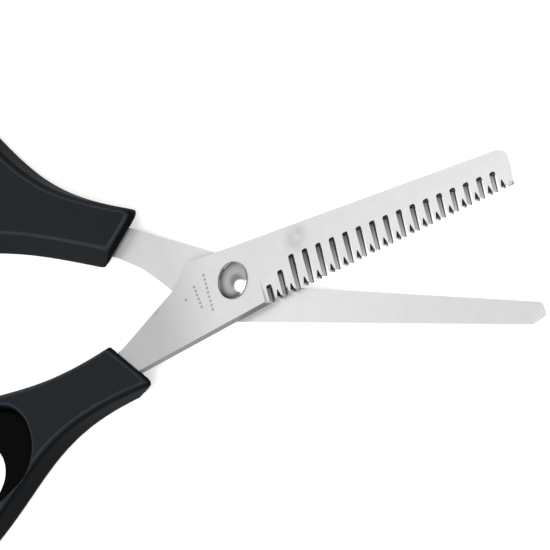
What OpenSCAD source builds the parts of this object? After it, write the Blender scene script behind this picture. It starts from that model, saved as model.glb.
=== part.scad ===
// Thinning shears: a comb blade over a plain blade on one rivet, each moulded into a ringed handle.
// X runs from the rivet to the tips, Y across, and Z up from the face that the shears lie on.
// The origin is on the rivet's axis, at that face.
// Each half is drawn in its own closed position, with X along its cutting line, and then opened.

/* [Opening] */
// Turn of each half from the centre line at rest, in degrees
open_half = 12; // [8:0.5:20]

/* [Heights] */
// Thickness of both blades
blade_t = 2.1; // [1.8:0.05:2.2]
// Gap between the two blades, which holds the thin washer
blade_gap = 0.2; // [0.15:0.05:0.3]
// Thickness of the handles at their rings
handle_t = 7.4; // [7.2:0.1:8.4]
// Height of the rivet's closed tail
tail_h = 1.0; // [0.8:0.1:1.2]
// Thickness of the washer under the tail
back_washer_t = 0.5; // [0.4:0.1:0.6]

/* [Pivot] */
// Radius of the rivet's shank
shank_r = 2.2; // [1.8:0.1:2.6]
// Radial running clearance of the toothed blade on the shank
shank_play = 0.05; // [0.02:0.01:0.09]
// Radius of the domed head
head_r = 4.0; // [3.6:0.1:4.4]
// Height of the dome
head_h = 1.5; // [1.2:0.1:1.7]
// Radius of both washers
washer_r = 4.2; // [3.8:0.1:4.6]
// Radius of the closed tail
tail_r = 3.3; // [3:0.1:3.6]

/* [Teeth] */
// Number of slots
slot_count = 18; // [12:1:18]
// Width of a slot
slot_w = 1.45; // [1.2:0.05:1.6]
// How far each side of a slot opens out at its mouth
slot_flare = 0.15; // [0:0.05:0.2]
// Corner radius at the top of a slot
slot_corner = 0.45; // [0.3:0.05:0.5]
// Distance from the rivet to the first slot
slot_first = 8.7; // [8.5:0.1:9.5]
// Slot spacing next to the rivet
slot_pitch_root = 3.8; // [3.6:0.05:3.8]
// Slot spacing at the tip
slot_pitch_tip = 3.4; // [3.2:0.05:3.4]
// Line of the tooth tips, below the rivet's centre
teeth_y = -7.6; // [-7.8:0.1:-7.3]
// Depth of the first slot, the shortest but for those at the tip
slot_first_depth = 3.2; // [2.5:0.1:3.5]
// Depth of the second slot
slot_second_depth = 5.0; // [4.5:0.1:5.5]
// Depth of the third slot, the deepest
slot_root_depth = 7.1; // [6.5:0.1:7.3]
// Depth of the last slot
slot_tip_depth = 3.7; // [3:0.1:4.5]
// Width of the notch in a tooth's tip
notch_w = 1.0; // [0.6:0.1:1.2]
// Depth of the notch in a tooth's tip
notch_d = 1.4; // [1.2:0.1:2.2]
// Thickness that grinding leaves at the tooth tips
teeth_t = 1.6; // [1.2:0.1:1.8]
// Width of the ground band along the teeth
grind_w = 5.2; // [4:0.1:6]

/* [Plain blade] */
// Line of the cutting edge, from the rivet's centre
edge_y = -0.55; // [-0.8:0.05:-0.3]
// Width of the bevel under the cutting edge
bevel_w = 2.2; // [1.5:0.1:3]
// Thickness left at the cutting edge
edge_t = 0.35; // [0.25:0.05:0.6]
// Chamfer along the top of the spine
spine_chamfer = 0.35; // [0.2:0.05:0.5]

/* [Handles] */
// Rounding of the handles' long edges
edge_r = 1.5; // [1:0.1:2]
// Height of the pocket on the deep side of the tang at a handle's mouth
mouth_gap = 1.1; // [0.8:0.1:1.3]
// Height of the pocket on the shallow side of the tang
mouth_near_gap = 0.3; // [0.2:0.1:0.4]
// Gap beside the tang in that pocket
mouth_side_gap = 0.2; // [0.1:0.1:0.5]
// Depth of that pocket
mouth_depth = 2.5; // [1.5:0.1:3]
// How much thinner each face of a handle is at the mouth
mouth_drop = 0.5; // [0.3:0.1:0.6]
// Depth of the liners below each face of the rings
insert_drop = 1.2; // [0.8:0.1:1.6]
// Radius of the stop button
bumper_r = 2.0; // [1.6:0.1:2.2]

/* [Hidden] */
$fn = 64;
tiny = 0.03;
cut = 20;
plain_z = tail_h + back_washer_t;
toothed_z = plain_z + blade_t + blade_gap;
head_z = toothed_z + blade_t + tiny;
mid_z = handle_t / 2;

// The toothed blade, its X along the tooth tips
tooth_end_x = 73.4;
slots_start_x = 7.3;
tang_end_x = -58;
toothed_heel = [-10.4, 5.6];
heel_r = 2.7;

// The plain blade, its X along the cutting edge
plain_end_x = 79.7;
spine_y0 = -8.9;
spine_slope = 0.0435;
plain_heel = [-9.5, -6.3];

// The handles, each in its own half's closed position
thumb_ring = [-92, 19.2];
thumb_ring_outer = [20.2, 17];
thumb_hole = [15, 12];
thumb_opening = [12.2, 9.6];
finger_ring = [-93.5, -15.6];
finger_ring_outer = [17, 16.6];
finger_hole_near = [-72.5, -11.9];
finger_hole_near_r = 9.3;
finger_hole_far = [-93, -15.5];
finger_hole_far_r = 12.2;
finger_opening = [-88, -15];
finger_opening_size = [14.5, 9.3];
bumper_x = -84;
bumper_seat_y = -1.8;
bumper_len = 4.1;

// Mouths: the inner and outer corner of each handle's slanted end
thumb_mouth = [[-37.8, 1.1], [-29.8, 14.1]];
finger_mouth = [[-36.5, -0.9], [-26.5, -13.3]];
// Length of each side that the rounding of an outer corner takes
thumb_corner = 6;
finger_corner = 5;
// Turn-back of the lower part of each mouth's end face, in degrees
thumb_rake = 58;
finger_rake = 55;
// The lower and upper edge of each tang at its handle's mouth
thumb_tang_edges = [3.8, 10.2];
finger_tang_edges = [-9.2, -3.0];
thumb_tang_y = 7.4;
finger_tang_y = -6.5;

// Point on a cubic curve with four control points, at t from 0 to 1
function bezier_at(p, t) =
    pow(1 - t, 3) * p[0] + 3 * pow(1 - t, 2) * t * p[1]
    + 3 * (1 - t) * t * t * p[2] + pow(t, 3) * p[3];
function bezier(p, n = 20) = [for (i = [0:n]) bezier_at(p, i / n)];
function arc(c, r, a0, a1, n = 8) =
    [for (i = [0:n]) let (a = a0 + (a1 - a0) * i / n) c + r * [cos(a), sin(a)]];
function spine_at(x) = spine_y0 + spine_slope * x;
function toward(p, q, d) = p + d * (q - p) / norm(q - p);
function on_ellipse(c, size, a) = c + [size.x * cos(a), size.y * sin(a)];
// Rounded outer corner of a mouth, d long on each side, and the outer side from there
function outer_side(mouth, d, pulls, end) =
    let (out = toward(mouth[1], pulls[0], d))
    concat(
        bezier([toward(mouth[1], mouth[0], d), mouth[1], mouth[1], out], 10),
        bezier([out, pulls[0], pulls[1], end])
    );

// Slots close up evenly from the root's spacing to the tip's
function slot_x(i) =
    slot_first + slot_pitch_root * i
    - (slot_pitch_root - slot_pitch_tip) * i * i / (2 * (slot_count - 1));
function slot_depth(i) =
    i == 0 ? slot_first_depth :
    i == 1 ? slot_second_depth :
    slot_root_depth + (slot_tip_depth - slot_root_depth) * (i - 2) / (slot_count - 3);

module open_toothed() { rotate([0, 0, open_half]) children(); }
module open_plain() { rotate([0, 0, -open_half]) children(); }

module ellipse(c, size) {
    translate(c) scale(size) circle(r = 1);
}

// ---- blades ----

module toothed_outline() {
    polygon(concat(
        [[tang_end_x, -3.6], [tang_end_x, -10.2], [slots_start_x - 0.3, -7.6]],
        [[slots_start_x, teeth_y], [tooth_end_x - 0.2, teeth_y], [tooth_end_x, -4]],
        arc([tooth_end_x - 1.5, -1.4], 1.4, 0, 80),
        arc(toothed_heel, heel_r, 88, 142),
        [[-16.8, 3.9], [-24, 1.0], [-33.5, -3.0], [-38, -3.6]]
    ));
}

module plain_outline() {
    polygon(concat(
        [[tang_end_x, 10.4], [tang_end_x, 4.4], [-42, 4.4], [-35.6, 3.6], [-27.9, 1.5]],
        [[-22.7, -0.9], [-18.9, -2.8]],
        arc(plain_heel, heel_r, 215, 270),
        [[-6, spine_at(-6)], [plain_end_x - 1.6, spine_at(plain_end_x)]],
        [[plain_end_x - 0.3, -3.6], [plain_end_x, -2.5], [plain_end_x, edge_y - 0.3]],
        [[plain_end_x - 0.3, edge_y], [9.6, edge_y], [7.2, 3.2], [4.5, 4.8], [0, 5.4]],
        [[-8.1, 5.8], [-18.1, 7.6], [-27, 9.2], [-34, 10.4]]
    ));
}

// Slot that opens out to its mouth on the tooth line, with rounded corners at its closed end
module slot(depth) {
    half = slot_w / 2;
    side = half - slot_corner;
    polygon([[-half - slot_flare, -1], [half + slot_flare, -1],
             [half, depth - slot_corner], [-half, depth - slot_corner]]);
    translate([-side, 0]) square([2 * side, depth]);
    for (s = [-1, 1])
        translate([s * side, depth - slot_corner]) circle(r = slot_corner);
}

// Notch in the middle of the tooth on the tip side of slot i
module tooth_notch(i) {
    land = (i < slot_count - 1 ? slot_x(i + 1) - slot_x(i) : slot_pitch_tip);
    translate([slot_x(i) + land / 2, 0])
        polygon([[-notch_w / 2, -0.5], [notch_w / 2, -0.5], [notch_w / 2, 0.2],
                 [0.1, notch_d], [-0.1, notch_d], [-notch_w / 2, 0.2]]);
}

// Round holes in the tang that the handle's plastic fills
module tang_holes(y) {
    for (x = [-51, -43]) translate([x, y]) circle(r = 1.5);
}

// Wedge that grinding takes off the top of the teeth
module grind_wedge() {
    drop = blade_t - teeth_t;
    lean = atan(drop / grind_w);
    translate([slots_start_x - 0.3, teeth_y, teeth_t])
        rotate([lean, 0, 0])
        translate([0, -2, 0]) cube([cut * 4, grind_w * 2, 4]);
}

module toothed_blade() {
    color("silver") open_toothed() translate([0, 0, toothed_z]) difference() {
        linear_extrude(blade_t) difference() {
            toothed_outline();
            for (i = [0:slot_count - 1]) {
                translate([slot_x(i), teeth_y]) slot(slot_depth(i));
                translate([0, teeth_y]) tooth_notch(i);
            }
            tang_holes(finger_tang_y);
        }
        translate([0, 0, -1]) cylinder(r = shank_r + shank_play, h = blade_t + 2);
        intersection() {
            grind_wedge();
            translate([slots_start_x - 0.3, -cut, 0]) cube([cut * 4, cut, cut]);
        }
    }
}

module plain_blade() {
    bevel = atan((blade_t - edge_t) / bevel_w);
    spine_turn = atan(spine_slope);
    color("silver") open_plain() translate([0, 0, plain_z]) difference() {
        linear_extrude(blade_t) difference() {
            plain_outline();
            tang_holes(thumb_tang_y);
        }
        translate([0, 0, -1]) cylinder(r = shank_r, h = blade_t + 2);
        // cutting bevel, on the underside
        translate([10, edge_y - bevel_w, 0]) rotate([bevel, 0, 0])
            translate([0, -1, -4]) cube([cut * 4, bevel_w * 3, 4]);
        // chamfer along the spine's top edge
        translate([0, spine_y0 + spine_chamfer, blade_t]) rotate([0, 0, spine_turn])
            rotate([135, 0, 0]) translate([-6, -3, 0]) cube([cut * 5, 6, 3]);
    }
}

// ---- pivot ----

module pivot_rivet() {
    dome_r = (head_r * head_r + head_h * head_h) / (2 * head_h);
    dome_a = asin(head_r / dome_r);
    rim = 0.2;
    dome = arc([0, head_z + rim + head_h - dome_r], dome_r, 90 - dome_a, 90, 12);
    color("gainsboro") rotate_extrude() polygon(concat(
        [[0, 0], [tail_r - 0.3, 0], [tail_r, 0.3], [tail_r, tail_h], [shank_r, tail_h]],
        [[shank_r, head_z], [head_r, head_z], [head_r, head_z + rim]],
        dome
    ));
}

module washer(z, t, hole_r) {
    translate([0, 0, z]) difference() {
        cylinder(r = washer_r, h = t);
        translate([0, 0, -1]) cylinder(r = hole_r, h = t + 2);
    }
}

module blade_washer() {
    color("gray") washer(plain_z + blade_t, blade_gap - tiny, shank_r);
}

module back_washer() {
    color("gray") washer(tail_h, back_washer_t, shank_r);
}

// ---- handles ----

// Slab of height h whose edges are rounded to radius r in steps, the middle step first
module soft_slab(h, r, steps = 4) {
    for (i = [0:steps - 1]) {
        low = r - r * sin(90 * (i + 1) / steps);
        inset = r - r * cos(90 * (i + 0.5) / steps);
        translate([0, 0, low]) linear_extrude(h - 2 * low) offset(delta = -inset) children();
    }
}

module thumb_outline() {
    offset(r = 1) offset(delta = -1) {
        ring_start = on_ellipse(thumb_ring, thumb_ring_outer, 75.4);
        ring_end = on_ellipse(thumb_ring, thumb_ring_outer, 275.7);
        polygon(concat(
            outer_side(thumb_mouth, thumb_corner, [[-59.3, 16.9], [-65.9, 21.2]], ring_start),
            bezier([ring_end, [-65.2, 3.5], [-63.8, 3.9], thumb_mouth[0]])
        ));
        ellipse(thumb_ring, thumb_ring_outer);
    }
}

module finger_outline() {
    offset(r = 1) offset(delta = -1) {
        ring_start = on_ellipse(finger_ring, finger_ring_outer, -63.7);
        ring_end = on_ellipse(finger_ring, finger_ring_outer, -271.7);
        polygon(concat(
            outer_side(finger_mouth, finger_corner, [[-61.6, -12.1], [-64.2, -21.1]], ring_start),
            bezier([ring_end, [-69.9, 3.4], [-64.7, -4.2], finger_mouth[0]])
        ));
        ellipse(finger_ring, finger_ring_outer);
    }
}

module finger_hole() {
    hull() {
        translate(finger_hole_near) circle(r = finger_hole_near_r);
        translate(finger_hole_far) circle(r = finger_hole_far_r);
    }
}

// Wedges that thin a handle evenly from the start of its neck to its mouth
module neck_taper() {
    neck_x = -58;
    lean = atan(mouth_drop / 28);
    translate([neck_x, -cut, handle_t]) rotate([0, lean, 0]) cube([cut * 3, cut * 2, 3]);
    translate([neck_x, -cut, 0]) rotate([0, -lean, 0]) translate([0, 0, -3])
        cube([cut * 3, cut * 2, 3]);
}

// Pocket round the tang at a mouth: as deep as mouth_depth all along the slanted end
module mouth_pocket(mouth, tang, below, above) {
    slant = (mouth[1].x - mouth[0].x) / (mouth[1].y - mouth[0].y);
    edges = [tang[0] - mouth_side_gap, tang[1] + mouth_side_gap];
    ends = [for (y = edges) mouth[0].x + slant * (y - mouth[0].y)];
    translate([0, 0, -below]) linear_extrude(blade_t + below + above) polygon([
        [ends[0] - mouth_depth, edges[0]], [ends[0] + mouth_depth, edges[0]],
        [ends[1] + mouth_depth, edges[1]], [ends[1] - mouth_depth, edges[1]]
    ]);
}

// Wedge that turns a mouth's end face back below height z; its inner corner comes first
module rake_wedge(mouth, z, lean) {
    run = mouth[1] - mouth[0];
    side = sign(run.y);
    translate([mouth[0].x, mouth[0].y, z])
        rotate([0, 0, atan2(run.y, run.x)]) rotate([side * lean, 0, 0])
        translate([-cut, side > 0 ? -cut : 0, -cut]) cube([cut * 3, cut, cut]);
}

module thumb_handle() {
    color([0.14, 0.14, 0.16]) open_plain() difference() {
        soft_slab(handle_t, edge_r) thumb_outline();
        neck_taper();
        rake_wedge(thumb_mouth, plain_z + blade_t + mouth_gap, thumb_rake);
        translate([0, 0, -1]) linear_extrude(handle_t + 2) ellipse(thumb_ring, thumb_hole);
        translate([0, 0, plain_z]) {
            linear_extrude(blade_t) difference() {
                plain_outline();
                tang_holes(thumb_tang_y);
            }
            mouth_pocket(thumb_mouth, thumb_tang_edges, mouth_near_gap, mouth_gap);
        }
    }
}

module finger_handle() {
    color([0.14, 0.14, 0.16]) open_toothed() difference() {
        soft_slab(handle_t, edge_r) finger_outline();
        neck_taper();
        rake_wedge(finger_mouth, toothed_z + blade_t, finger_rake);
        translate([0, 0, -1]) linear_extrude(handle_t + 2) finger_hole();
        translate([0, 0, toothed_z]) {
            linear_extrude(blade_t) difference() {
                toothed_outline();
                tang_holes(finger_tang_y);
            }
            mouth_pocket(finger_mouth, finger_tang_edges, mouth_gap, mouth_near_gap);
        }
        translate([bumper_x, bumper_seat_y, mid_z]) rotate([-90, 0, 0])
            cylinder(r = bumper_r, h = bumper_len);
    }
}

// ---- liners and stop ----

module thumb_insert() {
    color([0.05, 0.05, 0.06]) open_plain() translate([0, 0, insert_drop])
        linear_extrude(handle_t - 2 * insert_drop) difference() {
            ellipse(thumb_ring, thumb_hole);
            ellipse(thumb_ring, thumb_opening);
        }
}

module finger_insert() {
    color([0.05, 0.05, 0.06]) open_toothed() translate([0, 0, insert_drop])
        linear_extrude(handle_t - 2 * insert_drop) difference() {
            finger_hole();
            ellipse(finger_opening, finger_opening_size);
        }
}

module stop_bumper() {
    round_r = 1;
    color([0.08, 0.08, 0.08]) open_toothed() translate([bumper_x, bumper_seat_y, mid_z])
        rotate([-90, 0, 0]) rotate_extrude() polygon(concat(
            [[0, 0], [bumper_r, 0]],
            arc([bumper_r - round_r, bumper_len - round_r], round_r, 0, 90, 6),
            [[0, bumper_len]]
        ));
}

toothed_blade();
plain_blade();
pivot_rivet();
blade_washer();
back_washer();
thumb_handle();
finger_handle();
thumb_insert();
finger_insert();
stop_bumper();
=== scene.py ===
"""Thinning shears: ground steel blades on a polished rivet, moulded handles and soft ring liners.

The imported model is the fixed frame. The blades and washers are its own parts with finer finishes,
and the rivet, handles, liners and stop button are new pieces that stand for its plain ones.
Sizes are millimetres in each half's own closed position, with X along the blade and Y away from
the centre line between the halves; a piece is opened and turned to metres when it is made.
"""
import logging
import math
from collections.abc import Callable
from dataclasses import dataclass
from enum import Enum
from typing import Any

import bmesh
import bpy
import numpy as np
from mathutils import Matrix, Vector


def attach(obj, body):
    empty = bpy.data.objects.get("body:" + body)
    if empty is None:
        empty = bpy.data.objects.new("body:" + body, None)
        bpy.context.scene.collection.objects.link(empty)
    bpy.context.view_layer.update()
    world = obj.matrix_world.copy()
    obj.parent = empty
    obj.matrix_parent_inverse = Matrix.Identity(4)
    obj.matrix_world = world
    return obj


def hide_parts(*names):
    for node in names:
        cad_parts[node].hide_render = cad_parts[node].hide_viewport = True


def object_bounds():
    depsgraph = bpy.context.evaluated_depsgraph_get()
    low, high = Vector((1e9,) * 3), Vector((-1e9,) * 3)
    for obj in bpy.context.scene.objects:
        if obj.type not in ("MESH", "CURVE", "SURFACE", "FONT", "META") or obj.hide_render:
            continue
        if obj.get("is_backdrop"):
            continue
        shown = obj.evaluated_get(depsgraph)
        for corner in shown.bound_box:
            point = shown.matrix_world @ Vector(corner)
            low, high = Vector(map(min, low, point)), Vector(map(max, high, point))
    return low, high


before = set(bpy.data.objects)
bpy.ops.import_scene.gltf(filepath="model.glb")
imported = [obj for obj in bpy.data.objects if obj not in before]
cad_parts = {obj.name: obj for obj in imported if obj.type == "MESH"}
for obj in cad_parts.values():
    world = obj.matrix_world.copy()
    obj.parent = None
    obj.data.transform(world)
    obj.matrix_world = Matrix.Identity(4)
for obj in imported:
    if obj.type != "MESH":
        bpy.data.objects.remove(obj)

Array = np.ndarray
Pair = tuple[float, float]
Field = Callable[[Array], Array]

LOG = logging.getLogger("thinning_shears")
MM = 0.001
OPEN_HALF = math.radians(12.0)
FINE_LAYERS = 3.0
CURVE_POINTS = 60
ARC_POINTS = 13
BLOCK_POINTS = 4000
MERGE_WITHIN = 0.0005


class Half(Enum):
    """The two halves of the shears: body name, turn from closed to rest, and side of Y."""

    PLAIN = ("plain_half", -OPEN_HALF, 1.0)
    TOOTHED = ("toothed_half", OPEN_HALF, -1.0)

    @property
    def body(self) -> str:
        """Name of the moving body that the half's pieces ride on."""
        return self.value[0]

    @property
    def turn(self) -> float:
        """Turn about the rivet's axis from the closed position to rest, in radians."""
        return self.value[1]

    @property
    def side(self) -> float:
        """Side of the centre line that the half's handle lies on, 1 for +Y and -1 for -Y."""
        return self.value[2]


# ---- shader graphs ----


class Number:
    """A shader socket that sums can be written on."""

    def __init__(self, graph: "Graph", socket: bpy.types.NodeSocket | None) -> None:
        """Keeps the graph and the socket that carries the value, if there is one."""
        self.graph = graph
        self.socket = socket

    def maths(self, operation: str, *values: "Number | float") -> "Number":
        """Adds a Math node that works on the given values, in order."""
        return self.graph.add("ShaderNodeMath", {"operation": operation}, dict(enumerate(values)))

    def __add__(self, other: "Number | float") -> "Number":
        """Sum."""
        return self.maths("ADD", self, other)

    __radd__ = __add__

    def __mul__(self, other: "Number | float") -> "Number":
        """Product."""
        return self.maths("MULTIPLY", self, other)

    __rmul__ = __mul__

    def __sub__(self, other: "Number | float") -> "Number":
        """Difference."""
        return self.maths("SUBTRACT", self, other)

    def __rsub__(self, other: "Number | float") -> "Number":
        """Difference, reflected."""
        return self.maths("SUBTRACT", other, self)

    def __abs__(self) -> "Number":
        """Size without sign."""
        return self.maths("ABSOLUTE", self)

    def swing(self, depth: float) -> "Number":
        """A noise as a change about 0 that is depth from its lowest to its highest."""
        return depth * (self - 0.5)

    def rise(self, low: float, high: float) -> "Number":
        """Smooth step from 0 at low to 1 at high, which may be below low.

        Args:
            low: Value at which the step starts.
            high: Value at which it ends.

        Returns:
            The step, from 0 to 1.
        """
        settings = {"interpolation_type": "SMOOTHSTEP"}
        if low < high:
            return self.graph.add("ShaderNodeMapRange", settings, {0: self, 1: low, 2: high})
        return 1.0 - self.graph.add("ShaderNodeMapRange", settings, {0: self, 1: high, 2: low})


class Graph:
    """A node tree that is written as expressions."""

    def __init__(self, tree: bpy.types.NodeTree) -> None:
        """Empties the tree and keeps it."""
        self.tree = tree
        tree.nodes.clear()

    def add(
        self,
        kind: str,
        settings: dict[str, Any] | None = None,
        inputs: dict[int | str, Any] | None = None,
        output: int | str = 0,
    ) -> Number:
        """Adds one node.

        Args:
            kind: The node's type.
            settings: The node's own settings, set first; "stops" are a ramp's places and tones.
            inputs: Values or links of its sockets, by name or number.
            output: The output socket to return.

        Returns:
            The chosen output.
        """
        node = self.tree.nodes.new(kind)
        for name, value in (settings or {}).items():
            if name == "stops":
                self._fill_ramp(node.color_ramp, value)
            else:
                setattr(node, name, value)
        for key, value in (inputs or {}).items():
            if isinstance(value, Number):
                self.tree.links.new(value.socket, node.inputs[key])
            else:
                node.inputs[key].default_value = value
        return Number(self, node.outputs[output] if len(node.outputs) else None)

    @staticmethod
    def _fill_ramp(ramp: bpy.types.ColorRamp, stops: tuple[Pair, ...]) -> None:
        """Gives a ramp its stops.

        Args:
            ramp: The ramp.
            stops: Place and grey tone of each stop.
        """
        for index, (place, tone) in enumerate(stops):
            stop = ramp.elements[index] if index < 2 else ramp.elements.new(place)
            stop.position = place
            stop.color = (tone, tone, tone, 1.0)

    def place(self) -> Number:
        """The surface point in the frame, in millimetres."""
        metres = self.add("ShaderNodeTexCoord", output="Object")
        return self.scaled(metres, (1 / MM,) * 3)

    def scaled(self, vector: Number, factors: tuple[float, float, float]) -> Number:
        """A vector with each part multiplied by its own factor."""
        return self.add("ShaderNodeVectorMath", {"operation": "MULTIPLY"}, {0: vector, 1: factors})

    def turned(self, vector: Number, angle: float) -> Number:
        """A vector turned about Z."""
        settings = {"rotation_type": "Z_AXIS"}
        return self.add("ShaderNodeVectorRotate", settings, {"Vector": vector, "Angle": angle})

    def parts(self, vector: Number) -> tuple[Number, Number, Number]:
        """The parts of a vector.

        Args:
            vector: The vector.

        Returns:
            Its X, Y and Z parts.
        """
        x = self.add("ShaderNodeSeparateXYZ", None, {0: vector})
        outputs = x.socket.node.outputs
        return x, Number(self, outputs[1]), Number(self, outputs[2])

    def noise(self, vector: Number, size: float, detail: float = 2.0) -> Number:
        """Cloudy noise from 0 to 1, with clouds of a size in millimetres and finer layers."""
        inputs = {"Vector": vector, "Scale": 1 / size, "Detail": detail}
        return self.add("ShaderNodeTexNoise", None, inputs)

    def facing(self) -> Number:
        """Direction that the surface faces, in the piece's own frame."""
        return self.add("ShaderNodeTexCoord", output="Normal")

    def steepness(self) -> Number:
        """0 on level faces and 1 on upright walls."""
        normal = self.add("ShaderNodeNewGeometry", output="True Normal")
        return 1.0 - abs(self.parts(normal)[2])

    def colour(self, tone: Number, warmth: float = 0.0) -> Number:
        """A grey of the given tone as a colour, reddened by warmth above 0 and blued below it."""
        inputs = {0: tone, 6: grey(0.0), 7: grey(1.0, warmth)}
        return self.add("ShaderNodeMix", {"data_type": "RGBA"}, inputs, 2)

    def bump(self, height: Number, depth: float) -> Number:
        """Normal of a surface whose height of 1 stands for depth, in millimetres."""
        return self.add("ShaderNodeBump", None, {"Height": height, "Distance": depth * MM})

    def surface(
        self, inputs: dict[int | str, Any], share: Number | None = None,
        second: dict[int | str, Any] | None = None,
    ) -> None:
        """Closes a material's graph with one Principled shader, or a mix of two.

        Args:
            inputs: The shader's inputs.
            share: Share of the second shader, if there is one.
            second: The second shader's inputs.
        """
        shader = self.add("ShaderNodeBsdfPrincipled", None, inputs)
        if share is not None:
            other = self.add("ShaderNodeBsdfPrincipled", None, second)
            shader = self.add("ShaderNodeMixShader", None, {0: share, 1: shader, 2: other})
        self.add("ShaderNodeOutputMaterial", None, {"Surface": shader})

    def length(self, *parts: Number) -> Number:
        """Length of the vector with the given parts."""
        vector = self.add("ShaderNodeCombineXYZ", None, dict(enumerate(parts)))
        return self.add("ShaderNodeVectorMath", {"operation": "LENGTH"}, {0: vector}, "Value")

    def spot(self, place: tuple[Number, Number], centre: Pair, size: Pair) -> Number:
        """1 at an upright oval's centre, falling smoothly to 0 at its half width and height."""
        parts = [(p - c) * (1 / r) for p, c, r in zip(place, centre, size)]
        return self.length(*parts).rise(1.0, 0.0)


def grey(tone: float, warmth: float = 0.0) -> tuple[float, float, float, float]:
    """A grey as a colour, reddened by warmth above 0 and blued below it."""
    return (tone * (1 + warmth), tone, tone * (1 - warmth), 1.0)


# ---- finishes ----


class Finish:
    """A finish that a material is made from."""

    def paint(self, g: Graph) -> None:
        """Adds the finish's nodes to a material's empty graph."""
        raise NotImplementedError

    def material(self, name: str) -> bpy.types.Material:
        """Builds the material.

        Args:
            name: The material's name.

        Returns:
            The material.
        """
        material = bpy.data.materials.new(name)
        material.use_nodes = True
        self.paint(Graph(material.node_tree))
        return material


@dataclass(frozen=True)
class DotRow:
    """A row of shallow punched dots, as a maker's plain mark."""

    start: Pair
    end: Pair
    dots: int
    radius: float = 0.42
    floor_share: float = 0.5
    end_blur: float = 0.01

    def mask(self, g: Graph, along: Number, across: Number) -> Number:
        """1 in the dots and 0 elsewhere.

        The point's distance along the row is cut into as many equal steps as there are dots,
        and each dot is a disc at the middle of its step.

        Args:
            g: The graph to add to.
            along: The surface point along the blade.
            across: The surface point across it.

        Returns:
            The mask.
        """
        run = np.subtract(self.end, self.start)
        reach = float(np.hypot(*run))
        cos, sin = run / reach
        x, y = along - self.start[0], across - self.start[1]
        on_row, beside = x * cos + y * sin, y * cos - x * sin
        step = reach / self.dots
        turns = on_row * (1 / step)
        offset = (turns.maths("FRACT", turns) - 0.5) * step
        dot = g.length(offset, beside).rise(self.radius, self.radius * self.floor_share)
        blur = self.end_blur
        return dot * on_row.rise(-blur, blur) * on_row.rise(reach + blur, reach - blur)


@dataclass(frozen=True)
class DarkPatch:
    """A soft oval darker patch on a blade."""

    centre: Pair
    size: Pair
    depth: float


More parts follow.
